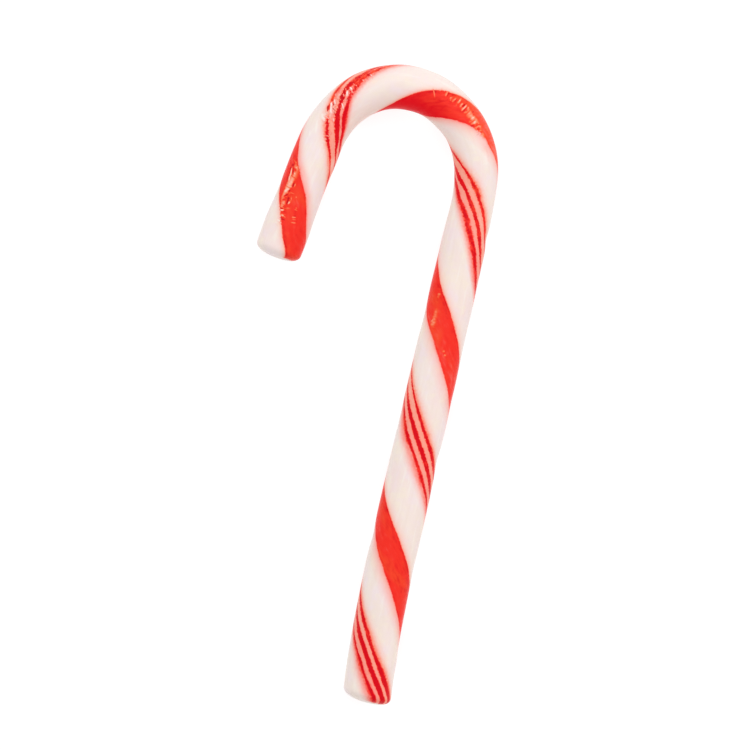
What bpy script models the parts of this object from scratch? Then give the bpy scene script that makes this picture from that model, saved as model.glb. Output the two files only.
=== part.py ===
"""A candy cane: one round rod of boiled sugar, bent into a crook while it was still warm.

It lies on its side with +Z up, its shaft along +Y and its crook turning left, towards -X.
Every distance along the rod is measured from the middle of the foot's cut end.
"""

import math

import bmesh
import bpy
from mathutils import Vector

MM = 0.001

ROD_LENGTH = 212.6 * MM

# The diameter along the rod: stout at the foot, drawn thin at the neck, fuller again at the tip.
THICKNESS = (
    (0.0 * MM, 11.45 * MM),
    (35.0 * MM, 11.45 * MM),
    (80.0 * MM, 11.0 * MM),
    (110.0 * MM, 10.65 * MM),
    (123.0 * MM, 9.95 * MM),
    (133.0 * MM, 10.35 * MM),
    (157.0 * MM, 10.55 * MM),
    (175.0 * MM, 10.2 * MM),
    (212.6 * MM, 11.0 * MM),
)

# The foot leans a little to the left, and the shaft is straight from here to the crook.
FOOT_LEAN = math.radians(6.8)
FOOT_BOW_LENGTH = 47.4 * MM

# The crook bends in slowly, turns evenly, is pinched tighter at its crown, and eases out.
CROOK_TURN = math.radians(172.2)
CROWN_TURN = math.radians(8.6)
CROOK_START = 115.4 * MM
CROOK_FULL = 133.4 * MM
CROOK_EASE = 171.9 * MM
CROOK_END = 193.4 * MM
CROWN = 159.8 * MM
CROWN_REACH = 6.9 * MM

# Each cut end is a blunt dome, a quarter of a superellipse turned round the rod's middle.
END_DEPTH = 2.5 * MM
END_SQUARENESS = 2.4
END_STEPS = 6

# Lying warm on the cooling table pressed a narrow flat along the whole underside.
UNDERSIDE_FLAT = 0.2 * MM

RING_SPACING = 2.1 * MM
ROD_SIDES = 32
MARCH_STEP = 0.1 * MM

SUGAR_COLOUR = (0.90, 0.80, 0.74, 1.0)
SUGAR_ROUGHNESS = 0.22


def clear_scene():
    for old in list(bpy.data.objects):
        bpy.data.objects.remove(old)


def eased(value, start, end):
    """0 before start, 1 after end, and an S-shaped curve between them."""
    share = min(max((value - start) / (end - start), 0.0), 1.0)
    return share * share * (3.0 - 2.0 * share)


def rod_radius(distance):
    """Half the rod's diameter, eased from each station of THICKNESS to the next."""
    diameter = THICKNESS[0][1]
    for (start, thick), (end, next_thick) in zip(THICKNESS, THICKNESS[1:]):
        diameter += (next_thick - thick) * eased(distance, start, end)
    return diameter / 2


def bend_rate(distance):
    """How fast the rod turns to the left, in radians per metre."""
    foot = -2 * FOOT_LEAN / FOOT_BOW_LENGTH * max(1 - distance / FOOT_BOW_LENGTH, 0.0)
    arc_length = (CROOK_EASE + CROOK_END - CROOK_START - CROOK_FULL) / 2
    bent = eased(distance, CROOK_START, CROOK_FULL) - eased(distance, CROOK_EASE, CROOK_END)
    crook = (CROOK_TURN - CROWN_TURN) / arc_length * bent
    peak = CROWN_TURN / (CROWN_REACH * math.sqrt(math.pi))
    crown = peak * math.exp(-(((distance - CROWN) / CROWN_REACH) ** 2))
    return foot + crook + crown


def ring_stations():
    """(distance, share of the full radius) of each ring, close together where the ends are domed."""
    dome = []
    for step in range(1, END_STEPS + 1):
        angle = math.radians(90) * step / END_STEPS
        depth = END_DEPTH * (1 - abs(math.cos(angle)) ** (2 / END_SQUARENESS))
        dome.append((depth, math.sin(angle) ** (2 / END_SQUARENESS)))
    between = ROD_LENGTH - 2 * END_DEPTH
    count = round(between / RING_SPACING)
    middle = [(END_DEPTH + between * ring / count, 1.0) for ring in range(1, count)]
    tip = [(ROD_LENGTH - depth, share) for depth, share in reversed(dome)]
    return dome + middle + tip


def rod_rings():
    """(middle, direction, radius) of each ring, marched along the rod from the foot."""
    place, heading, distance = Vector((0.0, 0.0)), FOOT_LEAN, 0.0
    rings = []
    for station, share in ring_stations():
        steps = max(1, math.ceil((station - distance) / MARCH_STEP))
        stride = (station - distance) / steps
        for _ in range(steps):
            turn = bend_rate(distance + stride / 2) * stride
            across = heading + turn / 2
            place = place + stride * Vector((-math.sin(across), math.cos(across)))
            heading += turn
            distance += stride
        direction = Vector((-math.sin(heading), math.cos(heading)))
        rings.append((place, direction, share * rod_radius(distance)))
    return rings


def outline_centre(rings):
    """The middle of the box round the rod, seen from above."""
    edges = []
    for place, direction, radius in rings:
        side = radius * Vector((direction.y, -direction.x))
        edges += [place + side, place - side]
    lowest = Vector((min(edge.x for edge in edges), min(edge.y for edge in edges)))
    highest = Vector((max(edge.x for edge in edges), max(edge.y for edge in edges)))
    return (lowest + highest) / 2


def sugar_material():
    material = bpy.data.materials.new("sugar")
    material.use_nodes = True
    shader = material.node_tree.nodes["Principled BSDF"]
    shader.inputs["Base Color"].default_value = SUGAR_COLOUR
    shader.inputs["Roughness"].default_value = SUGAR_ROUGHNESS
    return material


def rod_curve():
    """The round rod as a bevelled curve, with its underside UNDERSIDE_FLAT below z = 0."""
    rings = rod_rings()
    centre = outline_centre(rings)
    curve = bpy.data.curves.new("rod", "CURVE")
    curve.dimensions = "3D"
    curve.bevel_depth = 1.0
    curve.bevel_resolution = (ROD_SIDES - 4) // 2
    curve.use_fill_caps = True
    spline = curve.splines.new("POLY")
    spline.points.add(len(rings) - 1)
    for point, (place, _, radius), (distance, _) in zip(spline.points, rings, ring_stations()):
        height = rod_radius(distance) - UNDERSIDE_FLAT
        point.co = (place.x - centre.x, place.y - centre.y, height, 1.0)
        point.radius = radius
    return bpy.data.objects.new("rod_curve", curve)


def rod_mesh(collection):
    """The curve as a closed mesh object named cane."""
    guide = rod_curve()
    collection.objects.link(guide)
    graph = bpy.context.evaluated_depsgraph_get()
    mesh = bpy.data.meshes.new_from_object(guide.evaluated_get(graph))
    bpy.data.objects.remove(guide)
    welded = bmesh.new()
    welded.from_mesh(mesh)
    bmesh.ops.remove_doubles(welded, verts=welded.verts, dist=0.001 * MM)
    welded.to_mesh(mesh)
    welded.free()
    mesh.name = "cane"
    cane = bpy.data.objects.new("cane", mesh)
    cane.data.materials.clear()
    cane.data.materials.append(sugar_material())
    collection.objects.link(cane)
    return cane


def table_cutter(collection):
    """A slab under z = 0, as broad as the whole cane, that cuts the flat underside."""
    slab_size, slab_depth = 2 * ROD_LENGTH, 10 * MM
    bpy.ops.mesh.primitive_cube_add(size=1.0, location=(0.0, 0.0, -slab_depth / 2))
    slab = bpy.context.active_object
    slab.name = "table_cutter"
    slab.scale = (slab_size, slab_size, slab_depth)
    slab.hide_render = True
    slab.display_type = "WIRE"
    for holder in list(slab.users_collection):
        holder.objects.unlink(slab)
    collection.objects.link(slab)
    return slab


def build():
    clear_scene()
    parts = bpy.data.collections.new("candy_cane")
    cutters = bpy.data.collections.new("cutters")
    bpy.context.scene.collection.children.link(parts)
    bpy.context.scene.collection.children.link(cutters)
    cane = rod_mesh(parts)
    flatten = cane.modifiers.new("flat underside", "BOOLEAN")
    flatten.operation = "DIFFERENCE"
    flatten.solver = "EXACT"
    flatten.object = table_cutter(cutters)
    cane.data.shade_smooth()
    cane.data.set_sharp_from_angle(angle=math.radians(40))


build()
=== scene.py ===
import math
from bisect import bisect_left, bisect_right

import bmesh
import bpy
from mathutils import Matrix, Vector, noise


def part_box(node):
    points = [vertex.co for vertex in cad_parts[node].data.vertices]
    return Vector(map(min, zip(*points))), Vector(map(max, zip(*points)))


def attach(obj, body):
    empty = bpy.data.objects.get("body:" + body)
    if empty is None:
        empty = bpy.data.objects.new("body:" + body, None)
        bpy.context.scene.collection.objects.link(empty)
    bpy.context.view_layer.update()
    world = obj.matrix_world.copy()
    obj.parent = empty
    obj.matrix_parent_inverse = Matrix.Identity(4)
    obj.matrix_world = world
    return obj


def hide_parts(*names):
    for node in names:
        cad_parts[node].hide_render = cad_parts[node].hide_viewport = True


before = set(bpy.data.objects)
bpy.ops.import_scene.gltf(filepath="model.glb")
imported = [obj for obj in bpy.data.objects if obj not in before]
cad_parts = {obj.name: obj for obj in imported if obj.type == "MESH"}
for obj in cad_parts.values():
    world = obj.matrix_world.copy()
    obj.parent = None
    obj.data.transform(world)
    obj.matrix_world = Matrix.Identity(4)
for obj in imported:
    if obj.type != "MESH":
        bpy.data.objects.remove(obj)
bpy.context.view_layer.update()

# ---- The candy cane ----
# One rod of pulled sugar. White sugar is worked to a thick log, one wide red ribbon and three thin
# red lines are laid along it, and the log is drawn out, twisted and rolled to a rod, so the stripes
# are fused in. The rod is cut while warm, bent into its crook, and laid on its side to cool.

# Sizes are in millimetres. Those along the rod start from the middle of the foot's cut end. Angles go
# round the rod in degrees, 0 facing up and positive towards the crook's outer side.
MM = 0.001
ROD_LENGTH = 212.6
THICKNESS = (
    (0.0, 11.5),
    (35.0, 11.5),
    (80.0, 11.06),
    (110.0, 10.7),
    (123.0, 10.05),
    (133.0, 10.45),
    (157.0, 10.6),
    (175.0, 10.25),
    (212.6, 11.05),
)

# The foot leans and bows back to straight. The crook bends in slowly, is pinched at its crown, and
# eases out.
FOOT_LEAN = math.radians(6.8)
FOOT_BOW_LENGTH = 47.4
CROOK_TURN = math.radians(172.2)
CROWN_TURN = math.radians(8.6)
CROOK_START = 115.4
CROOK_FULL = 133.4
CROOK_EASE = 171.9
CROOK_END = 193.4
CROWN = 159.8
CROWN_REACH = 6.9
MARCH_STEP = 0.1

# Each cut end is a blunt dome. The foot was cut a little askew, and the underside lay flat to cool.
END_DEPTH = 2.5
END_SQUARENESS = 2.4
FOOT_SKEW = math.tan(math.radians(8.5))
SKEW_REACH = 9.0
UNDERSIDE_FLAT = 0.2

# Hands and rollers left the rod a little uneven: (distance, angle, reach, height) of each dent or
# swell.
DENTS = (
    (10.5, 90, 2.0, 0.10),
    (33.0, 95, 3.5, -0.12),
    (39.5, -90, 3.0, -0.24),
    (59.5, 90, 2.6, -0.20),
    (69.0, 90, 4.0, 0.10),
    (69.0, -90, 3.5, -0.10),
    (78.0, 90, 4.5, 0.12),
    (92.5, -90, 4.0, -0.16),
    (98.0, 90, 4.0, 0.10),
    (108.5, 90, 2.5, 0.06),
    (113.6, 90, 1.8, -0.26),
    (126.5, -90, 4.0, 0.10),
    (131.0, 90, 5.0, 0.08),
    (140.0, -90, 3.0, -0.14),
    (150.5, 90, 3.0, 0.12),
    (151.0, -90, 3.0, -0.12),
    (161.5, 85, 3.0, -0.10),
    (168.5, 88, 4.0, 0.09),
    (181.5, 80, 3.0, 0.12),
    (186.5, -85, 4.5, 0.32),
    (196.5, 85, 2.4, -0.14),
    (204.5, 90, 3.0, 0.12),
    (206.0, -90, 3.0, 0.08),
)
DENT_SPREAD = 42.0
UNEVEN_HEIGHT = 0.07
UNEVEN_LENGTH = 9.0

# The skin crinkled on the outer side of the crook, from one distance to another. The mesh is finer
# there, by so many times along the rod and round it.
CRINKLED = ((134.0, 153.0), (161.0, 184.0), (188.0, 206.0))
CRINKLE_FACING = 26.0
CRINKLE_REACH = 42.0
CRINKLE_FADE = 2
CRINKLE_RINGS = 2.5
CRINKLE_SIDES = 3.2

# The mesh has RINGS gaps between the rings along the rod, SIDES round it and END_STEPS over each
# domed end. Each gap is found by SPREAD_STEPS steps, and points closer than WELD_GAP are welded.
RINGS = 706
SIDES = 132
END_STEPS = 16
SPREAD_STEPS = 20
WELD_GAP = 0.002

# A bell-shaped bump is as good as nothing at so many times its reach.
BELL_END = 3


def eased(value, start, end):
    """0 before start, 1 after end, and an S-shaped curve between them."""
    share = min(max((value - start) / (end - start), 0.0), 1.0)
    return share * share * (3.0 - 2.0 * share)


def bump(value, middle, reach):
    """1 at middle, falling off as a bell on both sides."""
    return math.exp(-(((value - middle) / reach) ** 2))


def rod_radius(distance):
    """Half the rod's diameter, eased from each station of THICKNESS to the next."""
    diameter = THICKNESS[0][1]
    for (start, thick), (end, next_thick) in zip(THICKNESS, THICKNESS[1:]):
        diameter += (next_thick - thick) * eased(distance, start, end)
    return diameter / 2


def bend_rate(distance):
    """How fast the rod turns to the left, in radians per millimetre."""
    foot = -2 * FOOT_LEAN / FOOT_BOW_LENGTH * max(1 - distance / FOOT_BOW_LENGTH, 0.0)
    arc_length = (CROOK_EASE + CROOK_END - CROOK_START - CROOK_FULL) / 2
    bent = eased(distance, CROOK_START, CROOK_FULL) - eased(distance, CROOK_EASE, CROOK_END)
    crook = (CROOK_TURN - CROWN_TURN) / arc_length * bent
    crown = CROWN_TURN / (CROWN_REACH * math.sqrt(math.pi)) * bump(distance, CROWN, CROWN_REACH)
    return foot + crook + crown


# TWIST holds the places where the ribbon or the thin lines face up, with how far the twist has
# turned by there. The thin lines lie 10.6 degrees off the side opposite the ribbon.
LINES_TURN = 190.6
TWIST = (
    (8.66, LINES_TURN - 360.0),
    (35.45, 0.0),
    (63.42, LINES_TURN),
    (89.80, 360.0),
    (120.70, LINES_TURN + 360.0),
    (146.10, 720.0),
    (175.20, LINES_TURN + 720.0),
    (200.75, 1080.0),
)

# The ribbon's two edges wander: (distance, angle from its middle).
RIBBON_LOW = (
    (0, -39), (21, -41), (28, -38), (34, -36), (78, -37), (85, -37), (88, -34.5), (90, -38.5),
    (93, -43.5), (95, -43.5), (101, -38), (133, -38.5), (136.5, -28.5), (139, -31), (142, -35),
    (145, -39.3), (148, -45.3), (152, -53), (165, -46), (184, -45), (187, -43.5), (189.3, -39.8),
    (191.5, -42.8), (196, -45.5), (199, -43), (202, -37), (204.5, -34), (207, -36), (212, -37),
)
RIBBON_HIGH = (
    (0, 37), (30, 37), (44, 36.5), (50, 36), (86, 36.3), (93, 37.4), (97.5, 35.3), (100, 32.5),
    (104, 32.5), (107, 29.5), (120, 36), (142, 43), (146, 45), (152, 46.2), (156, 45), (160, 45.5),
    (163, 48.5), (166, 53), (172, 50), (190, 43.5), (197, 43), (200, 40), (202, 38.5), (204.5, 41.5),
    (207, 45.5), (212, 49),
)
# The middle and the width of each thin line: (distance, angle from the middle of the three, width).
LINE_STATIONS = (
    (
        (0, -27, 14), (4.5, -26, 8), (7.5, -24.5, 5.5), (9.5, -20.5, 8.5), (12, -20, 5.5), (20, -21, 7),
        (52, -29, 8.5), (56, -28, 11), (60, -26.5, 7.5), (63, -26, 13), (66, -24.3, 9.5),
        (69, -21.2, 9), (80, -21, 8), (94, -33, 10), (101.5, -43.5, 11), (106, -41.5, 11),
        (110, -35.8, 16), (114, -32, 16), (117, -28.5, 17), (119.5, -30, 16.5), (122, -34.5, 15),
        (126.5, -34, 12.5), (140, -28, 9), (163, -21, 15), (170, -15.5, 13.5), (172, -19.8, 11),
        (175.5, -21.5, 17), (178.5, -22.5, 9), (181, -18.5, 9), (192, -21, 9),
    ),
    (
        (0, -0.5, 17.5), (5, -2.5, 14), (9, -1, 12), (13, 3, 13), (16, 3.5, 14), (19.5, 4.5, 8),
        (52, -3, 12), (56, -2.5, 14), (61, -1.5, 13), (67, 0.5, 11), (72, 3, 8.5), (75, 4.5, 7),
        (108, -14.5, 5), (112, -8.8, 10), (114, -4.2, 12.5), (116.5, -1, 11), (121, -2.2, 11),
        (124, -4.8, 9), (127, -10.5, 17.5), (131, -11.5, 8), (140, -5, 10), (165, -6, 13),
        (170.5, 5, 17), (172.5, 3, 13), (174.3, 1, 10.5), (176.3, 1.5, 19.5), (178.5, -1.8, 16.5),
        (181, -3.2, 16), (184, 1.5, 4.5), (190, 2, 7),
    ),
    (
        (0, 26, 15), (3, 24.5, 16), (5.5, 21.5, 18), (10, 22.5, 11.5), (13, 24.5, 8.5), (16, 27, 12),
        (19.5, 29, 12), (24, 30, 10), (54, 28, 14), (58, 28.5, 17), (62, 25.5, 12), (67, 26, 9),
        (72, 28.8, 6), (76, 30.5, 4), (85, 29, 5), (113, 19, 8), (118, 25, 10), (120, 27, 11.5),
        (122, 26.3, 9), (124, 27.3, 16), (126.5, 25.7, 12), (130, 23.5, 5), (133, 22.5, 8),
        (145, 26, 8), (166, 31, 11), (172.5, 32.3, 14), (175, 32.5, 9.5), (178, 30, 8.5), (181, 30, 10),
        (185, 26.5, 7), (195, 35, 6),
    ),
)
# How far colour bled from the ribbon's low edge and from the first line, as a share of the usual
# reach.
RIBBON_BLEED = (
    (0, 1.0), (60, 1.0), (76, 0.75), (92, 0.75), (104, 0.9), (130, 0.7), (135, 0.8), (138, 1.1),
    (149, 1.3), (160, 1.0), (186, 0.9), (191, 1.25), (197, 0.9), (201, 0.65), (212, 0.6),
)
BLEED = (
    (0, 1.15), (6, 1.05), (12, 0.85), (17, 0.85), (52, 1.0), (60, 1.1), (85, 1.0), (104, 0.87),
    (112, 0.7), (119, 0.88), (126, 0.65), (150, 0.75), (160, 0.95), (166, 0.75), (174, 0.65),
    (180, 0.5), (195, 0.55),
)
# How deeply the colour soaked in, as a share of the usual depth.
SOAKED = (
    (0, 1.1), (12, 1.06), (19, 1.0), (28, 1.03), (36, 1.01), (50, 0.98), (88, 0.97), (97, 1.0),
    (112, 0.95), (125, 0.95), (132, 0.98), (137, 1.02), (150, 1.06), (157, 1.06), (165, 1.0),
    (180, 1.02), (190, 0.97), (200, 0.99), (207, 1.03),
)
# The same places on evenly drawn stripes, which the sugar's material colours. At STRIPE_REACH
# from the ribbon's middle, or from the middle of the lines, the colour has run out.
RIBBON_EDGE = 37.5
LINE_MIDDLES = (-26.0, 0.0, 26.0)
LINE_HALF_WIDTH = 5.5
BLEED_REACH = 24.0
RIBBON_BLEED_REACH = 10.0
STRIPE_REACH = 68.0


def through(stations, distance):
    """A smooth curve through stations, each (distance, value)."""
    after = bisect_right(stations, (distance, math.inf))
    if after == 0:
        return stations[0][1]
    if after == len(stations):
        return stations[-1][1]

    def slope(station):
        before, behind = stations[max(station - 1, 0)], stations[min(station + 1, len(stations) - 1)]
        return (behind[1] - before[1]) / (behind[0] - before[0])

    (start, value), (end, next_value) = stations[after - 1], stations[after]
    span = end - start
    share = (distance - start) / span
    rest = 1 - share
    leaving = value + span * slope(after - 1) / 3
    arriving = next_value - span * slope(after) / 3
    return rest**3 * value + 3 * rest * share * (rest * leaving + share * arriving) + share**3 * next_value


def twist(distance):
    """How far the stripes have turned round the rod, in degrees."""
    (first, turned), (last, fully_turned) = TWIST[0], TWIST[-1]
    if distance < first:
        return turned + (distance - first) * (TWIST[1][1] - turned) / (TWIST[1][0] - first)
    if distance > last:
        return fully_turned + (distance - last) * (fully_turned - TWIST[-2][1]) / (last - TWIST[-2][0])
    return through(TWIST, distance)


def stripe_places(distance):
    """Matching angles round the rod: where the stripes lie here, and where evenly drawn ones would."""
    ribbon_low = through(RIBBON_LOW, distance)
    ribbon_bled = ribbon_low - RIBBON_BLEED_REACH * through(RIBBON_BLEED, distance)
    places = [
        (-STRIPE_REACH, -STRIPE_REACH),
        (ribbon_bled, -RIBBON_EDGE - RIBBON_BLEED_REACH),
        (ribbon_low, -RIBBON_EDGE),
        (through(RIBBON_HIGH, distance), RIBBON_EDGE),
        (STRIPE_REACH, STRIPE_REACH),
        (LINES_TURN - STRIPE_REACH, LINES_TURN - STRIPE_REACH),
    ]
    even_bleed = LINE_MIDDLES[0] - LINE_HALF_WIDTH - BLEED_REACH
    for middle, stations in zip(LINE_MIDDLES, LINE_STATIONS):
        here = LINES_TURN + through([station[:2] for station in stations], distance)
        half_width = through([(station[0], station[2]) for station in stations], distance) / 2
        if middle == LINE_MIDDLES[0]:
            bled = here - half_width - BLEED_REACH * through(BLEED, distance)
            places.append((bled, LINES_TURN + even_bleed))
        places.append((here - half_width, LINES_TURN + middle - LINE_HALF_WIDTH))
        places.append((here + half_width, LINES_TURN + middle + LINE_HALF_WIDTH))
    places.append((LINES_TURN + STRIPE_REACH, LINES_TURN + STRIPE_REACH))
    places.append((360.0 - STRIPE_REACH, 360.0 - STRIPE_REACH))
    return places


def even_angle(angle, places):
    """The angle on evenly drawn stripes that matches an angle from the ribbon's middle."""
    whole_turns, within = divmod(angle + STRIPE_REACH, 360.0)
    within -= STRIPE_REACH
    after = min(max(bisect_right(places, (within, math.inf)), 1), len(places) - 1)
    (start, even_start), (end, even_end) = places[after - 1], places[after]
    return 360.0 * whole_turns + even_start + (even_end - even_start) * (within - start) / (end - start)


# Single marks in the crinkled skin: (distance, angle, half length round the rod, half width along
# it, lean, height). A raised flake is painted pale, partly as sugar that holds air and partly as a
# painted highlight, and a crack between flakes is painted deep red as painted shade. A height of 1 is
# CRINKLE_HEIGHT.
MARKS = (
    (84.7, 18, 4, 0.17, 0.03, 0.7),
    (85.4, 11, 4, 0.20, 0.04, 0.45),
    (91.2, -32, 5, 0.20, 0.03, 0.4),
    (92.1, -34, 4, 0.18, 0.04, 0.75),
    (97.0, -32, 6, 0.18, 0.0, -0.5),
    (98.6, -33, 4, 0.20, 0.0, 0.4),
    (99.6, -47, 4, 0.18, 0.0, -0.7),
    (136.9, 22, 5, 0.15, 0.0, -0.4),
    (137.2, 28, 6, 0.15, 0.0, -0.6),
    (137.6, 30, 5, 0.16, 0.0, 0.45),
    (138.1, 31, 4, 0.30, 0.0, -0.7),
    (138.5, 33, 5, 0.15, 0.0, 0.35),
    (138.85, 27, 6, 0.15, 0.0, -0.4),
    (139.2, 20, 6, 0.15, 0.0, -0.8),
    (139.6, 23, 6, 0.15, 0.0, 0.35),
    (140.0, 29, 6, 0.15, 0.01, -0.4),
    (140.25, 18, 3, 0.15, 0.0, 0.3),
    (140.4, 31, 5, 0.2, 0.0, 0.15),
    (140.85, 24, 5, 0.15, 0.01, -0.3),
    (141.1, 41, 5, 0.16, 0.01, -0.6),
    (141.2, 33, 6, 0.16, -0.01, 0.3),
    (141.6, 44, 4, 0.18, 0.0, -0.9),
    (141.75, 27, 7, 0.2, 0.01, 0.25),
    (142.2, 33, 6, 0.15, 0.0, -0.45),
    (142.6, 24, 5, 0.16, 0.0, 0.35),
    (143.0, 28, 10, 0.16, 0.01, -1.1),
    (143.4, 31, 11, 0.16, 0.01, 0.9),
    (143.8, 33, 6, 0.19, 0.01, -1.4),
    (144.2, 28, 7, 0.14, 0.01, 0.4),
    (144.7, 34, 6, 0.14, 0.01, -0.6),
    (144.95, 18, 3, 0.16, 0.0, 0.3),
    (145.1, 33, 11, 0.15, 0.01, 0.55),
    (145.7, 26, 7, 0.18, 0.01, -0.8),
    (146.1, 21, 6, 0.15, 0.0, 0.5),
    (146.4, 29, 5, 0.14, 0.0, -0.6),
    (147.0, 33, 5, 0.16, -0.03, -0.6),
    (147.8, 25, 5, 0.16, 0.01, -0.7),
    (148.15, 25, 8, 0.16, 0.01, 0.6),
    (150.5, 13, 4, 0.16, 0.06, -0.8),
    (150.6, 8, 9, 0.16, 0.07, 0.6),
    (163.0, 52, 4, 0.2, 0.0, -0.5),
    (164.6, 41, 4, 0.18, 0.02, 0.9),
    (165.1, 46, 6, 0.18, 0.0, -0.8),
    (166.4, 33, 5, 0.15, 0.02, 0.6),
    (166.9, 38, 5, 0.16, 0.0, -0.6),
    (167.6, 54, 6, 0.20, -0.02, -0.8),
    (168.4, 26, 4, 0.18, 0.02, -0.7),
    (168.5, 36, 5, 0.16, 0.0, 0.4),
    (169.5, 29, 5, 0.16, -0.02, 0.8),
    (169.8, 46, 6, 0.16, -0.01, -0.8),
    (170.8, 24, 7, 0.24, -0.06, 1.4),
    (170.9, 37, 6, 0.24, -0.06, -1.4),
    (171.4, 8, 5, 0.16, -0.02, -0.7),
    (171.6, 27, 6, 0.16, -0.03, 0.6),
    (172.2, 25, 7.5, 0.31, -0.03, -1.45),
    (172.3, 13, 5, 0.16, -0.02, 0.5),
    (172.8, 42, 6, 0.2, -0.02, 0.45),
    (173.0, 24, 7, 0.16, -0.05, -0.6),
    (173.3, 5, 8, 0.22, -0.05, 1.1),
    (173.9, 29, 7, 0.24, -0.04, 1.1),
    (174.0, 38, 5, 0.18, 0.0, -0.6),
    (174.3, 8, 4, 0.18, -0.05, -0.8),
    (174.5, 28, 4, 0.15, -0.06, -0.9),
    (174.75, 32, 4, 0.16, -0.02, 1.1),
    (175.4, 25, 9, 0.26, -0.09, 1.6),
    (175.9, 8, 5, 0.18, -0.06, -0.7),
    (175.9, 32, 6, 0.24, -0.09, -1.3),
    (176.6, 8, 6, 0.18, -0.07, 0.6),
    (177.2, -1, 4, 0.3, -0.05, 0.8),
    (178.0, 27, 11, 0.50, -0.03, 1.0),
    (180.3, -14, 4, 0.25, -0.02, 0.6),
    (180.5, 29, 9, 0.50, -0.16, 0.9),
    (181.8, -14, 4, 0.18, 0.0, -0.9),
    (182.3, -6, 4, 0.20, -0.02, 0.6),
    (182.6, 37, 6, 0.50, -0.10, 0.7),
    (188.6, 52, 7, 0.5, -0.04, -0.4),
    (189.6, 47, 8, 0.2, -0.04, 0.3),
    (190.4, 25, 2.5, 0.30, -0.10, -0.5),
    (190.7, 47, 5, 0.4, 0.0, -0.7),
    (190.8, 30, 6, 0.22, 0.06, 0.45),
    (191.2, 29, 4, 0.2, -0.05, 0.5),
    (191.6, 51, 3, 0.3, 0.0, -1.1),
    (191.6, 34, 4, 0.2, -0.05, -0.5),
    (191.9, 39, 3.5, 0.3, -0.2, -0.9),
    (192.4, 36, 3, 0.3, -0.15, -0.9),
    (192.4, 43.2, 3.2, 0.48, -0.28, 1.7),
    (192.5, 50, 2, 0.35, -0.1, -0.7),
    (193.8, 48.5, 2.5, 0.9, 0.0, -0.6),
    (193.9, 42, 3.2, 0.45, -0.2, 1.1),
    (195.0, 18.3, 1.8, 0.5, 0.0, 0.5),
    (195.1, 22.8, 2.5, 0.60, -0.05, -1.1),
    (195.3, 48.5, 3.5, 0.80, 0.0, -0.35),
    (196.7, 27.3, 2.5, 0.34, 0.05, -1.1),
    (196.9, 37, 5.5, 0.45, 0.03, 0.55),
    (197.6, 4, 2.5, 0.2, 0.0, 0.45),
    (198.0, 32.5, 5, 0.24, 0.06, -1.2),
    (198.4, 14.6, 2.2, 0.36, -0.24, 0.7),
    (199.1, 21.5, 2.5, 0.60, -0.10, -1.1),
    (199.2, 33, 4, 0.2, 0.03, -0.6),
    (199.5, 16.8, 2.4, 0.40, 0.08, 1.1),
    (200.0, -6, 2.5, 0.16, 0.0, 0.4),
    (201.3, 31, 4, 0.18, 0.0, -1.2),
    (201.6, 27, 5, 0.2, 0.02, 1.3),
    (201.9, -10, 3, 0.16, 0.03, -0.7),
    (202.0, 31, 4, 0.16, 0.0, -0.7),
    (202.25, -8, 5, 0.15, 0.03, 0.8),
    (202.7, 24, 5, 0.2, 0.0, 0.7),
    (203.4, 22, 5, 0.16, 0.0, -0.5),
    (203.5, -12, 6, 0.15, 0.02, 0.6),
    (204.1, 26, 5, 0.3, -0.02, 0.9),
    (204.8, 29, 4, 0.25, -0.02, 0.8),
)
# Broad patches where the skin is raised, and the red and the white are painted paler, partly as a
# painted highlight: (distance, angle, reach along the rod, reach round it, height).
PATCHES = (
    (88.5, -8, 3.5, 15, 0.17),
    (90.0, -30, 4.5, 12, 0.13),
    (92.3, -31, 1.8, 6, 0.24),
    (93.9, -31, 0.9, 5, 0.24),
    (98.0, -34, 2.0, 5, 0.25),
    (131.0, 26, 2.6, 11, 0.7),
    (136.6, 36, 0.9, 6, 0.40),
    (138.6, 27, 1.3, 6, 0.30),
    (138.9, 38, 1.2, 4.5, 0.32),
    (140.5, 38, 4.0, 12, 0.16),
    (140.7, 29.5, 2.1, 8, 0.42),
    (142.6, 36, 1.2, 4, 0.30),
    (143.5, 27, 4.0, 8, 0.14),
    (146.0, 30, 3.0, 12, 0.08),
    (171.7, 44, 1.3, 9, 0.22),
    (181.5, 28, 1.6, 6, 0.45),
    (190.7, 37, 0.9, 5, 0.40),
    (192.5, 25, 2.2, 8, 0.26),
    (192.9, 30, 1.1, 4, 0.34),
    (193.6, 36, 1.7, 4.5, 0.45),
    (194.9, 30, 1.8, 4.4, 0.60),
    (196.0, 37, 1.5, 7, 0.70),
    (198.2, 39, 1.5, 5, 0.50),
    (200.3, 30.5, 1.3, 5.5, 0.78),
)
# Where the bend smeared the thin lines into each other, and, if negative, where it thinned them out:
# (distance, angle, reach along the rod, reach round it, strength).
SMEARS = (
    (74.5, -62, 3.0, 14, -0.12),
    (164.0, 57, 1.4, 9, 1.0),
    (165.6, 49, 1.3, 8, 1.0),
    (167.2, 42, 1.2, 7, 1.0),
    (167.2, 58, 1.4, 9, 0.9),
    (168.7, 36, 1.0, 6, 0.9),
    (168.8, 49, 1.2, 7, 0.9),
    (172.8, 47, 1.2, 8, 0.7),
    (173.9, 0, 1.0, 8, 0.45),
    (174.6, 36, 1.2, 6, -0.2),
    (175.6, -12, 1.3, 11, 0.8),
    (176.8, 20, 1.2, 9, -0.6),
    (177.3, 28, 0.9, 5, -0.3),
    (177.8, -28, 1.6, 12, 0.75),
    (180.6, -48, 1.8, 14, 0.72),
    (186.5, -24, 1.8, 14, -0.35),
    (187.5, -60, 2.0, 11, -0.42),
)
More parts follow.
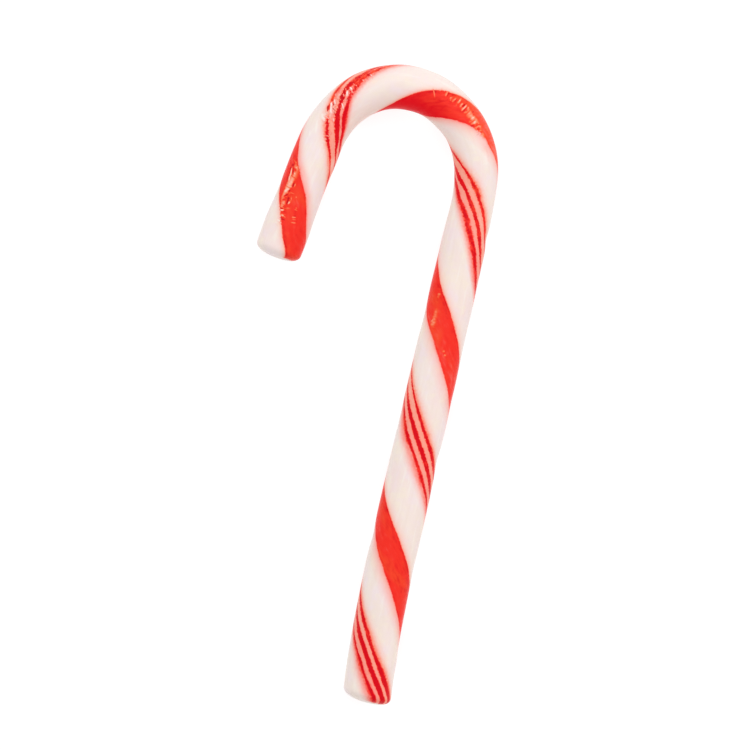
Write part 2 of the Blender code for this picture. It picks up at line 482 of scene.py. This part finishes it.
# Where the skin is finely crazed, which the colours paint with small painted highlights and painted shade:
# (distance, angle, reach along the rod, reach round it, strength).
CRAZING = (
    (79.0, -36, 6.0, 20, 0.2),
    (92.5, -32, 2.6, 7, 0.35),
    (98.8, -35, 1.8, 7, 0.4),
    (112.0, -28, 6.0, 20, 0.2),
    (129.0, 20, 6.0, 24, 0.25),
    (138.3, 30, 2.4, 12, 0.6),
    (143.8, 30, 3.2, 13, 0.65),
    (148.0, 22, 2.2, 12, 0.8),
    (166.0, 44, 3.2, 16, 0.6),
    (171.0, 27, 3.2, 18, 0.9),
    (176.5, 18, 3.0, 16, 0.8),
    (182.0, -8, 2.0, 12, 0.6),
    (193.5, 36, 3.4, 10, 0.45),
    (199.0, 24, 3.6, 13, 0.6),
    (202.0, -8, 1.8, 7, 0.5),
    (203.5, 22, 2.4, 12, 0.6),
)
CRINKLE_HEIGHT = 0.05
CRACK_SPACING = 0.45
CRACKS_ROUND = 2.2
# Further than this along the rod, a mark is as good as nothing.
MARK_END = 3


def patchwork(patches, distance, angle):
    """The sum of bell-shaped patches, each (distance, angle, reach along, reach round, amount)."""
    total = 0.0
    for middle, facing, along, around, amount in patches:
        if abs(distance - middle) < BELL_END * along and abs(angle - facing) < BELL_END * around:
            total += amount * bump(distance, middle, along) * bump(angle, facing, around)
    return total


def crinkle(distance, angle):
    """How raised the crinkled skin is here, or if negative how sunk. The colours paint raised skin pale,
    partly with a painted highlight, and sunk skin deep red with painted shade.
    """
    height = patchwork(PATCHES, distance, angle)
    for middle, facing, half_length, half_width, lean, amount in MARKS:
        if abs(distance - middle) < MARK_END and abs(angle - facing) < 2 * half_length:
            across = (distance - middle - lean * (angle - facing)) / half_width
            height += amount * math.exp(-(across**2) - ((angle - facing) / half_length) ** 4)
    return height


def spread(start, end, count, closeness):
    """count + 1 places from start to end, packed together where closeness is high."""
    steps = SPREAD_STEPS * count
    step_length = (end - start) / steps
    sums = [0.0]
    for step in range(steps):
        sums.append(sums[-1] + closeness(start + (step + 0.5) * step_length))
    places = []
    for place in range(count + 1):
        wanted = sums[-1] * place / count
        step = min(max(bisect_left(sums, wanted) - 1, 0), steps - 1)
        share = (wanted - sums[step]) / (sums[step + 1] - sums[step])
        places.append(start + (step + share) * step_length)
    return places


def ring_closeness(distance):
    """How many times as close the rings lie where the skin crinkled, eased at both ends."""
    crinkled = 0.0
    for start, end in CRINKLED:
        crinkled += eased(distance, start - CRINKLE_FADE, start) - eased(distance, end, end + CRINKLE_FADE)
    return 1.0 + (CRINKLE_RINGS - 1.0) * crinkled


def side_closeness(angle):
    """How many times as close the sides lie where the rod faces CRINKLE_FACING."""
    return 1.0 + (CRINKLE_SIDES - 1.0) * bump(angle, CRINKLE_FACING, CRINKLE_REACH)


def ring_stations():
    """(distance, share of the full radius) of each ring, from one cut face's middle to the other's."""
    dome = []
    for step in range(END_STEPS + 1):
        slope = math.radians(90) * step / END_STEPS
        depth = END_DEPTH * (1 - abs(math.cos(slope)) ** (2 / END_SQUARENESS))
        dome.append((depth, math.sin(slope) ** (2 / END_SQUARENESS)))
    between = spread(END_DEPTH, ROD_LENGTH - END_DEPTH, RINGS, ring_closeness)[1:-1]
    stations = dome + [(distance, 1.0) for distance in between]
    return stations + [(ROD_LENGTH - depth, share) for depth, share in reversed(dome)]


def middle_line():
    """(middle, direction) of each ring, marched along the rod from the foot."""
    middle, heading, marched = Vector((0.0, 0.0)), FOOT_LEAN, 0.0
    line = []
    for distance, _ in rings:
        steps = max(1, math.ceil((distance - marched) / MARCH_STEP))
        stride = (distance - marched) / steps
        for _ in range(steps):
            turn = bend_rate(marched + stride / 2) * stride
            across = heading + turn / 2
            middle = middle + stride * Vector((-math.sin(across), math.cos(across)))
            heading += turn
            marched += stride
        line.append((middle, Vector((-math.sin(heading), math.cos(heading)))))
    return line


def skin_lengths():
    """How far each ring lies from the first, measured over the skin."""
    lengths = [0.0]
    for (distance, share), (next_distance, next_share) in zip(rings, rings[1:]):
        rise = rod_radius(next_distance) * next_share - rod_radius(distance) * share
        lengths.append(lengths[-1] + math.hypot(next_distance - distance, rise))
    return lengths


rings = ring_stations()
angles = spread(-180.0, 180.0, SIDES, side_closeness)
ring_middles = middle_line()
ring_stripes = [stripe_places(distance) for distance, _ in rings]
ring_twists = [twist(distance) for distance, _ in rings]

# A flat sheet of sugar skin, one row for each ring, which is then rolled round the middle line.
rod = bmesh.new()
skin_map = rod.loops.layers.uv.new("OFBake")
straight_place = rod.verts.layers.float_vector.new("straight_place")
skin_share = rod.verts.layers.float.new("skin_share")
crinkled_skin = rod.verts.layers.float.new("crinkled_skin")
crazed_skin = rod.verts.layers.float.new("crazed_skin")
smeared_skin = rod.verts.layers.float.new("smeared_skin")
stretched_skin = rod.verts.layers.float.new("stretched_skin")
soaked_skin = rod.verts.layers.float.new("soaked_skin")
stripe_angle = rod.loops.layers.float.new("stripe_angle")
rows = len(rings) - 1
bmesh.ops.create_grid(rod, x_segments=SIDES, y_segments=rows, size=0.5)
for point in rod.verts:
    point.co = (round((point.co.x + 0.5) * SIDES), round((point.co.y + 0.5) * rows), 0)

# The skin map is the sheet cut into MAP_STRIPS lengths that lie side by side, each with a margin.
MAP_STRIPS = 3
MAP_MARGIN = 0.006
STRIP_MARGIN = MAP_STRIPS * MAP_MARGIN
ring_lengths = skin_lengths()
strip_rows = []
for strip in range(MAP_STRIPS):
    strip_rows.append(bisect_left(ring_lengths, ring_lengths[-1] * strip / MAP_STRIPS))
strip_rows.append(rows)


def map_corner(corner, strip):
    """Give a face's corner its place on the skin map and its angle on the stripes."""
    side, ring = int(corner.vert.co.x), int(corner.vert.co.y)
    start, end = ring_lengths[strip_rows[strip]], ring_lengths[strip_rows[strip + 1]]
    across = (angles[side] + 180) / 360
    along = (ring_lengths[ring] - start) / (end - start)
    corner[stripe_angle] = even_angle(angles[side] + ring_twists[ring], ring_stripes[ring])
    corner[skin_map].uv = (
        (strip + STRIP_MARGIN + across * (1 - 2 * STRIP_MARGIN)) / MAP_STRIPS,
        MAP_MARGIN + along * (1 - 2 * MAP_MARGIN),
    )


def roll_point(point):
    """Bring a point of the sheet to its place on the rod, and note what the skin is like there."""
    side, ring = int(point.co.x), int(point.co.y)
    distance, share = rings[ring]
    middle, direction = ring_middles[ring]
    facing = angles[side]
    angle = math.radians(facing)
    radius = rod_radius(distance)
    outward = Vector((math.sin(angle), distance / radius, math.cos(angle)))
    relief = UNEVEN_HEIGHT * noise.noise(outward * radius / UNEVEN_LENGTH)
    for dent, dent_facing, reach, height in DENTS:
        if abs(distance - dent) < BELL_END * reach:
            off_side = (facing - dent_facing + 180) % 360 - 180
            relief += height * bump(distance, dent, reach) * bump(off_side, 0, DENT_SPREAD)
    flakes_with_painted_light = crinkle(distance, facing)
    crazed = patchwork(CRAZING, distance, facing)
    crack_place = (outward.x * CRACKS_ROUND, distance / CRACK_SPACING, outward.z * CRACKS_ROUND)
    radius += relief + CRINKLE_HEIGHT * (flakes_with_painted_light + crazed * noise.noise(Vector(crack_place)))
    right, up = radius * share * math.sin(angle), radius * share * math.cos(angle)
    point[straight_place] = (right, distance, up)
    point[skin_share] = share
    point[crinkled_skin] = flakes_with_painted_light
    point[crazed_skin] = crazed
    point[smeared_skin] = patchwork(SMEARS, distance, facing)
    point[stretched_skin] = max(bend_rate(distance), 0.0) * right
    point[soaked_skin] = through(SOAKED, distance)
    along = -FOOT_SKEW * right * (1 - eased(distance, 0, SKEW_REACH))
    flat = middle + right * Vector((direction.y, -direction.x)) + along * direction
    height = max(up + rod_radius(distance) - UNDERSIDE_FLAT, 0.0)
    point.co = (flat.x * MM, flat.y * MM, height * MM)


for face in rod.faces:
    row = min(int(corner.vert.co.y) for corner in face.loops)
    for corner in face.loops:
        map_corner(corner, bisect_right(strip_rows, row) - 1)
for point in rod.verts:
    roll_point(point)
bmesh.ops.remove_doubles(rod, verts=rod.verts, dist=WELD_GAP * MM)
bmesh.ops.recalc_face_normals(rod, faces=rod.faces)

# The rod lies where the plain solid lies, on the table and with its box round the same middle.
solid_low, solid_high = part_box("cane")
lowest = Vector([min(point.co[axis] for point in rod.verts) for axis in range(3)])
highest = Vector([max(point.co[axis] for point in rod.verts) for axis in range(3)])
shift = (solid_low + solid_high - lowest - highest) / 2
bmesh.ops.translate(rod, verts=rod.verts, vec=(shift.x, shift.y, solid_low.z - lowest.z))
for face in rod.faces:
    face.smooth = True
cane_mesh = bpy.data.meshes.new("candy_cane")
rod.to_mesh(cane_mesh)
rod.free()
cane = bpy.data.objects.new("candy_cane", cane_mesh)
bpy.context.scene.collection.objects.link(cane)


class Shade:
    """One value in a material. Sums written with it become Math nodes."""

    def __init__(self, tree, socket=None):
        self.tree = tree
        self.socket = socket

    def node(self, kind, settings=(), sockets=(), out=0):
        """A new node's output. Its settings are set first, then its sockets' values or links."""
        made = self.tree.nodes.new(kind)
        for name, value in dict(settings).items():
            if name == "stops":
                stops = made.color_ramp.elements
                while len(stops) < len(value):
                    stops.new(1.0)
                for stop, (position, colour) in zip(stops, value):
                    stop.position = position
                    stop.color = colour
            else:
                setattr(made, name, value)
        for name, value in dict(sockets).items():
            if isinstance(value, Shade):
                self.tree.links.new(value.socket, made.inputs[name])
            else:
                made.inputs[name].default_value = value
        return Shade(self.tree, made.outputs[out] if made.outputs else None)

    def math(self, operation, *values):
        """A Math node on values, or on this value where none are given."""
        return self.node("ShaderNodeMath", {"operation": operation}, enumerate(values or (self,)))

    def __add__(self, other):
        return self.math("ADD", self, other)

    def __radd__(self, other):
        return self.math("ADD", other, self)

    def __sub__(self, other):
        return self.math("SUBTRACT", self, other)

    def __rsub__(self, other):
        return self.math("SUBTRACT", other, self)

    def __mul__(self, other):
        return self.math("MULTIPLY", self, other)

    def __rmul__(self, other):
        return self.math("MULTIPLY", other, self)

    def __truediv__(self, other):
        return self.math("DIVIDE", self, other)

    def __rtruediv__(self, other):
        return self.math("DIVIDE", other, self)

    def wrapped(self):
        """This angle in degrees, brought to between -180 and 180."""
        return self.math("WRAP", self, 180.0, -180.0)

    def rise(self, start, end, low=0.0, high=1.0):
        """low up to start, high from end on, eased between."""
        places = {"Value": self, "From Min": start, "From Max": end, "To Min": low, "To Max": high}
        return self.node("ShaderNodeMapRange", {"interpolation_type": "SMOOTHSTEP"}, places)

    def most(self, other):
        return self.math("MAXIMUM", self, other)

    def least(self, other):
        return self.math("MINIMUM", self, other)

    def noise(self, size, stretch=(1, 1, 1), detail=2.0, shift=(0, 0, 0)):
        """Noise from -1 to 1 whose lumps are about size across, longer where stretch is above 1."""
        scale = [1 / (size * along) for along in stretch]
        place = self.node("ShaderNodeMapping", (), {"Vector": self, "Location": shift, "Scale": scale})
        grain = self.node("ShaderNodeTexNoise", (), {"Vector": place, "Scale": 1.0, "Detail": detail})
        return grain * 4 - 2

    def blend(self, first, second):
        """The colour first where this is 0, second where it is 1."""
        sockets = {0: self, 6: first, 7: second}
        return self.node("ShaderNodeMix", {"data_type": "RGBA"}, sockets, out=2)


sugar = bpy.data.materials.new("sugar")
sugar.use_nodes = True
sugar.node_tree.nodes.clear()

# blank has no value of its own, and makes the nodes that start from none.
blank = Shade(sugar.node_tree)


def attribute(name, out="Fac"):
    """What the mesh holds under a name."""
    return blank.node("ShaderNodeAttribute", {"attribute_name": name}, out=out)


# What roll_point and map_corner noted. straight is a point's place on the rod before the crook was
# bent, and worked, below, is its place before the rod was twisted as well. stretch is above 0 where
# the bend drew the sugar out, and below 0 where it squeezed it.
straight = attribute("straight_place", "Vector")
outwards = attribute("skin_share")
marks = attribute("crinkled_skin")
crazing = attribute("crazed_skin")
smear = attribute("smeared_skin")
stretch = attribute("stretched_skin")
soak = attribute("soaked_skin")
even_stripe_angle = attribute("stripe_angle")
along_rod = blank.node("ShaderNodeSeparateXYZ", (), {0: straight}, out="Y")
turned = even_stripe_angle * math.radians(1)
from_core = outwards * (THICKNESS[-1][1] / 2)
untwisted_place = {0: turned.math("COSINE") * from_core, 1: along_rod, 2: turned.math("SINE") * from_core}
worked = blank.node("ShaderNodeCombineXYZ", (), untwisted_place)

# Every stripe's edge trembles a little, and is nibbled where the skin is finely crazed.
NIBBLE = 0.9
CRAZED_NIBBLE = 2.5
TREMBLE = 1.2
nibble = straight.noise(0.45, shift=(7, 0, 0)) * (NIBBLE + crazing * CRAZED_NIBBLE)
tremble = worked.noise(2.0, stretch=(1, 1.5, 1), detail=3) * TREMBLE + nibble
ribbon_angle = (even_stripe_angle + tremble).wrapped()
line_angle = (ribbon_angle + nibble - (LINES_TURN - 360)).wrapped()

# How much red lies at an angle from the ribbon's middle, and from the middle of the thin lines. The
# colour bled into the white past both edges, and further where the angle is lower.
# Across the ribbon the red deepens a little towards its high edge, partly the dye lying deeper and partly
# painted shade.
RIBBON_DYE = (
    (-72, 0.0), (-60, 0.10), (-50, 0.24), (-43, 0.38), (-39.4, 0.50), (-37.6, 0.68), (-35.8, 0.94),
    (-34, 1.06), (-30, 0.98), (-10, 0.99), (24, 1.02), (31, 1.05), (34.2, 1.12), (36.2, 0.90),
    (37.8, 0.58), (39.4, 0.38), (43, 0.24), (49, 0.12), (57, 0.04), (68, 0.0),
)
LINE_DYE = (
    (-64, 0.0), (-55, 0.09), (-48, 0.24), (-42, 0.47), (-37, 0.70), (-33, 0.80), (-31, 0.92),
    (-29, 1.2), (-23, 1.2), (-21, 0.90), (-19, 0.66), (-13, 0.56), (-7.5, 0.66), (-6, 0.90),
    (-4.2, 1.24), (4.2, 1.24), (6, 0.90), (7.5, 0.62), (13, 0.50), (19, 0.60), (21, 0.90), (23, 1.2),
    (29, 1.2), (31, 0.90), (33, 0.74), (36, 0.56), (40, 0.34), (46, 0.16), (54, 0.05), (62, 0.0),
)
DYE_RANGE = 90.0
DYE_MOST = 1.25


def dye(offset, profile):
    """How much red a profile puts at an angle from its middle."""
    stops = []
    for angle, amount in profile:
        stops.append(((angle + DYE_RANGE) / (2 * DYE_RANGE), (amount / DYE_MOST,) * 3 + (1,)))
    place = (offset + DYE_RANGE) / (2 * DYE_RANGE)
    return blank.node("ShaderNodeValToRGB", {"stops": stops}, {"Fac": place}) * DYE_MOST


# The red is uneven in itself, paler where the bend drew it out, and only as deep as the skin.
BROAD_PATCHES = 0.07
FINE_PATCHES = 0.09
LINE_SPECKLES = 0.10
DRAWN_PALENESS = 0.3
RED_SKIN = (0.60, 0.82)
broad_patches = worked.noise(6.0, stretch=(1, 2, 1), shift=(3, 0, 5))
fine_patches = worked.noise(0.9, stretch=(1, 2, 1), detail=3)
patchy = broad_patches * BROAD_PATCHES + fine_patches * FINE_PATCHES
speckled = worked.noise(0.7, stretch=(1, 1.6, 1), shift=(6, 1, 2))
line_dye = dye(line_angle, LINE_DYE) * (soak + speckled * LINE_SPECKLES)
redness = dye(ribbon_angle, RIBBON_DYE) * soak + line_dye
redness = redness.most(smear.least(1.0) * redness.rise(0.2, 0.5)) * (1 + smear.least(0.0))
redness = redness * (1 + patchy - stretch * DRAWN_PALENESS) * outwards.rise(*RED_SKIN)

# Fine cracks and flakes run round the crook's outer side, and lean with the pull of the bend.
BROAD_CRACKS = 0.6
CRAZED_FLAKES = 1.2
fine_cracks = straight.noise(0.45, stretch=(3.5, 1, 3.5), shift=(0, 2, 0))
crack_grain = fine_cracks + straight.noise(0.9, stretch=(2, 1, 2)) * BROAD_CRACKS
crack_grain = crack_grain * crack_grain.math("ABSOLUTE")
# The marks' and the crazing's height, which the colours below paint as highlights where raised and as
# shade where sunk.
flakes_with_painted_light = marks + crazing * crack_grain * CRAZED_FLAKES

# The sugar's colours, as red, green, blue and alpha.
WHITE_SUGAR = (0.91, 0.79, 0.74, 1)
CLOUDY_SUGAR = (0.88, 0.755, 0.685, 1)
ROSY_SUGAR = (0.91, 0.74, 0.72, 1)
# A painted glint on the white.
PAINTED_GLINT_WHITE = (0.93, 0.86, 0.80, 1)
LILAC_SUGAR = (0.90, 0.77, 0.79, 1)
CREAM_SUGAR = (0.92, 0.81, 0.695, 1)
# Painted shade, with reflected red light, on the crook's inner side.
INNER_SHADE_WHITE = (0.94, 0.755, 0.68, 1)
DRAWN_WHITE = (0.85, 0.765, 0.725, 1)
ROSE_BLEED = (0.98, 0.36, 0.31, 1)
SALMON_BLEED = (0.98, 0.36, 0.265, 1)
RED_SUGAR = (0.93, 0.033, 0.020, 1)
DEEP_RED_SUGAR = (0.70, 0.002, 0.010, 1)
# Painted shade in the cracks between flakes.
CRACK_SHADE_RED = (0.58, 0.006, 0.012, 1)
ORANGE_SUGAR = (0.94, 0.09, 0.026, 1)
DRAWN_PINK = (0.90, 0.115, 0.105, 1)
# Painted shade on the crook's inner side.
INNER_SHADE_RED = (0.85, 0.004, 0.012, 1)
# Painted highlight colours of raised flakes.
PEACH_FLAKE_HIGHLIGHT = (0.97, 0.27, 0.15, 1)
CLEAR_FLAKE_HIGHLIGHT = (0.98, 0.66, 0.53, 1)
PINK_FLAKE_HIGHLIGHT = (0.95, 0.33, 0.26, 1)
PEARL_FLAKE_HIGHLIGHT = (0.96, 0.78, 0.74, 1)


def tinted(base, colour, mask, strength):
    """The colour base with another laid over it, as strongly as strength where mask is 1."""
    return (mask * strength).blend(base, colour)


# The white sugar is clouded by air that was folded in, mottled cream and lilac, and streaked lighter
# and darker along the pull with a painted satin sheen. On the crook's inner side it is painted rosier, as
# painted shade and reflected red light, and drawn on the outer side it is greyer.
FINE_MOTTLE = 0.5
BROAD_MOTTLE = 1.1
cloud = worked.noise(3.2, stretch=(1, 2.6, 1), detail=3, shift=(0, 11, 0)).rise(-0.3, 0.9)
blush = straight.noise(6.0, stretch=(1, 2, 1), shift=(4, 9, 0)).rise(-0.1, 0.9)
cloudy_white = tinted(WHITE_SUGAR, CLOUDY_SUGAR, cloud, 0.7)
white = tinted(cloudy_white, ROSY_SUGAR, blush, 0.9)
fine_mottle = straight.noise(1.1, stretch=(1.8, 1, 1.8), shift=(8, 3, 1))
broad_mottle = straight.noise(3.2, stretch=(1, 1.5, 1), shift=(2, 7, 4))
mottle = fine_mottle * FINE_MOTTLE + broad_mottle * BROAD_MOTTLE
white = tinted(white, CREAM_SUGAR, mottle.rise(0.0, 1.0), 0.75)
white = tinted(white, LILAC_SUGAR, mottle.rise(0.0, -1.0), 0.75)
# Painted shade, with reflected red light, on the crook's inner side.
white = tinted(white, INNER_SHADE_WHITE, stretch.rise(-0.04, -0.24), 0.6)
white = tinted(white, DRAWN_WHITE, stretch.rise(0.1, 0.26), 0.6)
# Painted sheen: lighter and darker streaks along the pull.
painted_sheen_streaks = straight.noise(0.9, stretch=(1, 9, 1), detail=3, shift=(5, 8, 2))
white = tinted(white, PAINTED_GLINT_WHITE, painted_sheen_streaks.rise(0.1, 1.0), 0.6)
white = tinted(white, CLOUDY_SUGAR, painted_sheen_streaks.rise(-0.1, -1.0), 0.6)
drawn_streaks = straight.noise(0.55, stretch=(8, 1, 8), shift=(0, 5, 0))
drawn_white = drawn_streaks.rise(-0.2, 0.9) * stretch.rise(0.12, 0.25)
white = tinted(white, ROSY_SUGAR, drawn_white, 0.6)
# Raised flakes get a painted highlight, and sunk cracks painted rose shade.
white = tinted(white, PAINTED_GLINT_WHITE, flakes_with_painted_light.rise(0.15, 1.0), 0.8)
white = tinted(white, ROSE_BLEED, flakes_with_painted_light.rise(-0.15, -0.9), 0.4)

# The dyed sugar is pink where it bled, red where it covers the white, deep red where it is thick,
# deeper red still on the crook's inner side as painted shade, and orange where it is drawn thin.
COVERING = 0.55
DRAWN_ORANGE = 0.75
EMBER_ORANGE = 0.45
FLAKE_RANGE = 1.2
late_side = (turned * 2).math("SINE").rise(-0.9, 0.4)
bled = late_side.blend(ROSE_BLEED, SALMON_BLEED)
ember = worked.noise(4.5, stretch=(1, 1.5, 1), shift=(1, 4, 9)).rise(-0.1, 0.9)
orange = (stretch.rise(0.06, 0.26) * DRAWN_ORANGE + ember * EMBER_ORANGE).least(1.0)
red = orange.blend(RED_SUGAR, ORANGE_SUGAR)
drawn_red = drawn_streaks.rise(-0.1, 0.8) * stretch.rise(0.15, 0.25)
red = tinted(red, DRAWN_PINK, drawn_red, 0.7)
dyed = redness.rise(COVERING, 1.0).blend(bled, red)
dyed = redness.rise(1.0, 1.22).blend(dyed, DEEP_RED_SUGAR)
# Painted shade on the crook's inner side.
dyed = (stretch.rise(0.02, -0.24) * redness.rise(0.7, 1.0)).blend(dyed, INNER_SHADE_RED)


def flake_highlight_colour(*stops):
    """The painted highlight colour of a flake by its height. Each stop is (share of FLAKE_RANGE, colour).
    """
    return blank.node("ShaderNodeValToRGB", {"stops": stops}, {"Fac": flakes_with_painted_light / FLAKE_RANGE})


# Raised flakes get painted highlights, peach on the ribbon and pearl on the lines, and sunk cracks painted
# deep red shade.
on_lines = line_angle.math("ABSOLUTE").rise(80.0, 60.0)
peach_flake_highlight = flake_highlight_colour((0.0, RED_SUGAR), (0.15, ORANGE_SUGAR), (0.5, PEACH_FLAKE_HIGHLIGHT), (1.0, CLEAR_FLAKE_HIGHLIGHT))
pearl_flake_highlight = flake_highlight_colour((0.0, RED_SUGAR), (0.35, PINK_FLAKE_HIGHLIGHT), (0.8, PEARL_FLAKE_HIGHLIGHT))
dyed = flakes_with_painted_light.rise(0.03, 0.3).blend(dyed, on_lines.blend(peach_flake_highlight, pearl_flake_highlight))
dyed = flakes_with_painted_light.rise(-0.1, -0.8).blend(dyed, CRACK_SHADE_RED)
colour = (redness / COVERING).least(1.0).blend(white, dyed)

# The skin is smooth and softly shiny, with a satin grain along the pull. Flakes and the cut faces
# are duller.
SUGAR_ROUGHNESS = 0.28
CLOUDY_ROUGHNESS = 0.05
FLAKE_ROUGHNESS = 0.10
CUT_FACE_ROUGHNESS = 0.2
SUGAR_IOR = 1.45
SUGAR_SHINE = 0.08
PULLED_GRAIN = 0.6
FINE_GRAIN = 0.4
CRAZED_GRAIN = 3
GRAIN_STRENGTH = 0.10
GRAIN_DEPTH = 0.05 * MM
satin = worked.noise(0.35, stretch=(1, 14, 1)) * PULLED_GRAIN + straight.noise(0.5) * FINE_GRAIN
grain = satin + crazing * crack_grain * CRAZED_GRAIN
raised = {"Height": grain, "Strength": GRAIN_STRENGTH, "Distance": GRAIN_DEPTH}
dullness = worked.noise(4.0, stretch=(1, 2, 1), detail=3, shift=(5, 5, 5)) * CLOUDY_ROUGHNESS
roughness = SUGAR_ROUGHNESS + dullness + flakes_with_painted_light.math("ABSOLUTE") * FLAKE_ROUGHNESS
finish = {
    "Base Color": colour,
    "Roughness": roughness + outwards.rise(0.75, 0.5) * CUT_FACE_ROUGHNESS,
    "Normal": blank.node("ShaderNodeBump", (), raised),
    "IOR": SUGAR_IOR,
    "Specular IOR Level": SUGAR_SHINE,
}
shader = blank.node("ShaderNodeBsdfPrincipled", (), finish)
blank.node("ShaderNodeOutputMaterial", (), {"Surface": shader})
cane_mesh.materials.append(sugar)

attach(cane, "root")
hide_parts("cane")


# ---- The table, the lights and the camera ----
# The table is one broad sheet of pale paper, laid flat under the cane. It glows a little, so that
# the cane's shadow stays faint. Two large soft lights and white surroundings light the cane, and
# the camera looks straight down on it from far off.
TABLE_SIZE = 6.0
TABLE_GREY = (0.20, 0.20, 0.20, 1)
TABLE_ROUGHNESS = 0.9
TABLE_GLOW = 0.87
table_sheet = bmesh.new()
bmesh.ops.create_grid(table_sheet, x_segments=1, y_segments=1, size=TABLE_SIZE / 2)
table_mesh = bpy.data.meshes.new("table")
table_sheet.to_mesh(table_mesh)
table_sheet.free()
floor = bpy.data.objects.new("table", table_mesh)
bpy.context.scene.collection.objects.link(floor)
paper = bpy.data.materials.new("pale_table")
paper.use_nodes = True
paper_shader = paper.node_tree.nodes["Principled BSDF"]
paper_shader.inputs["Base Color"].default_value = TABLE_GREY
paper_shader.inputs["Roughness"].default_value = TABLE_ROUGHNESS
paper_shader.inputs["Specular IOR Level"].default_value = 0.0
paper_shader.inputs["Emission Color"].default_value = (1, 1, 1, 1)
paper_shader.inputs["Emission Strength"].default_value = TABLE_GLOW
table_mesh.materials.append(paper)

# The camera is turned so that the shaft leans, and looks at a point near the cane's middle.
SHOT_TURN = math.radians(12.934)
SHOT_WIDTH = 178.21 * MM
AIM = Vector((6.74 * MM, 1.33 * MM, 5.5 * MM))
RIGHT_WAY = Vector((math.cos(SHOT_TURN), math.sin(SHOT_TURN), 0))
UP_WAY = Vector((-math.sin(SHOT_TURN), math.cos(SHOT_TURN), 0))


def soft_light(name, bearing, zenith, colour, watts, distance=1.3, size=1.4):
    """A square soft light. bearing is from the picture's right to its top, zenith from straight up."""
    lamp = bpy.data.lights.new(name, "AREA")
    lamp.shape = "SQUARE"
    lamp.size = size
    lamp.energy = watts
    lamp.color = colour
    bearing, zenith = math.radians(bearing), math.radians(zenith)
    level = math.cos(bearing) * RIGHT_WAY + math.sin(bearing) * UP_WAY
    holder = bpy.data.objects.new(name, lamp)
    holder.location = AIM + distance * (math.sin(zenith) * level + math.cos(zenith) * Vector((0, 0, 1)))
    holder.rotation_euler = (AIM - holder.location).to_track_quat("-Z", "Y").to_euler()
    holder.visible_camera = False
    bpy.context.scene.collection.objects.link(holder)


soft_light("key", bearing=82, zenith=32, colour=(1.0, 1.0, 1.0), watts=8.7)
soft_light("warm_fill", bearing=0, zenith=68, colour=(1.0, 0.66, 0.54), watts=2.0)

STUDIO_WHITE = (1, 1, 1, 1)
STUDIO_GLOW = 0.66
world = bpy.data.worlds.new("studio")
world.use_nodes = True
surroundings = world.node_tree.nodes["Background"]
surroundings.inputs["Color"].default_value = STUDIO_WHITE
surroundings.inputs["Strength"].default_value = STUDIO_GLOW
bpy.context.scene.world = world
bpy.context.scene.view_settings.view_transform = "Standard"

lens = bpy.data.cameras.new("camera")
lens.lens = 300
lens.sensor_width = 36
lens.clip_start = 0.01
camera = bpy.data.objects.new("camera", lens)
camera.location = AIM + Vector((0, 0, SHOT_WIDTH * lens.lens / lens.sensor_width))
camera.rotation_euler = (0, 0, SHOT_TURN)
bpy.context.scene.collection.objects.link(camera)
bpy.context.scene.camera = camera
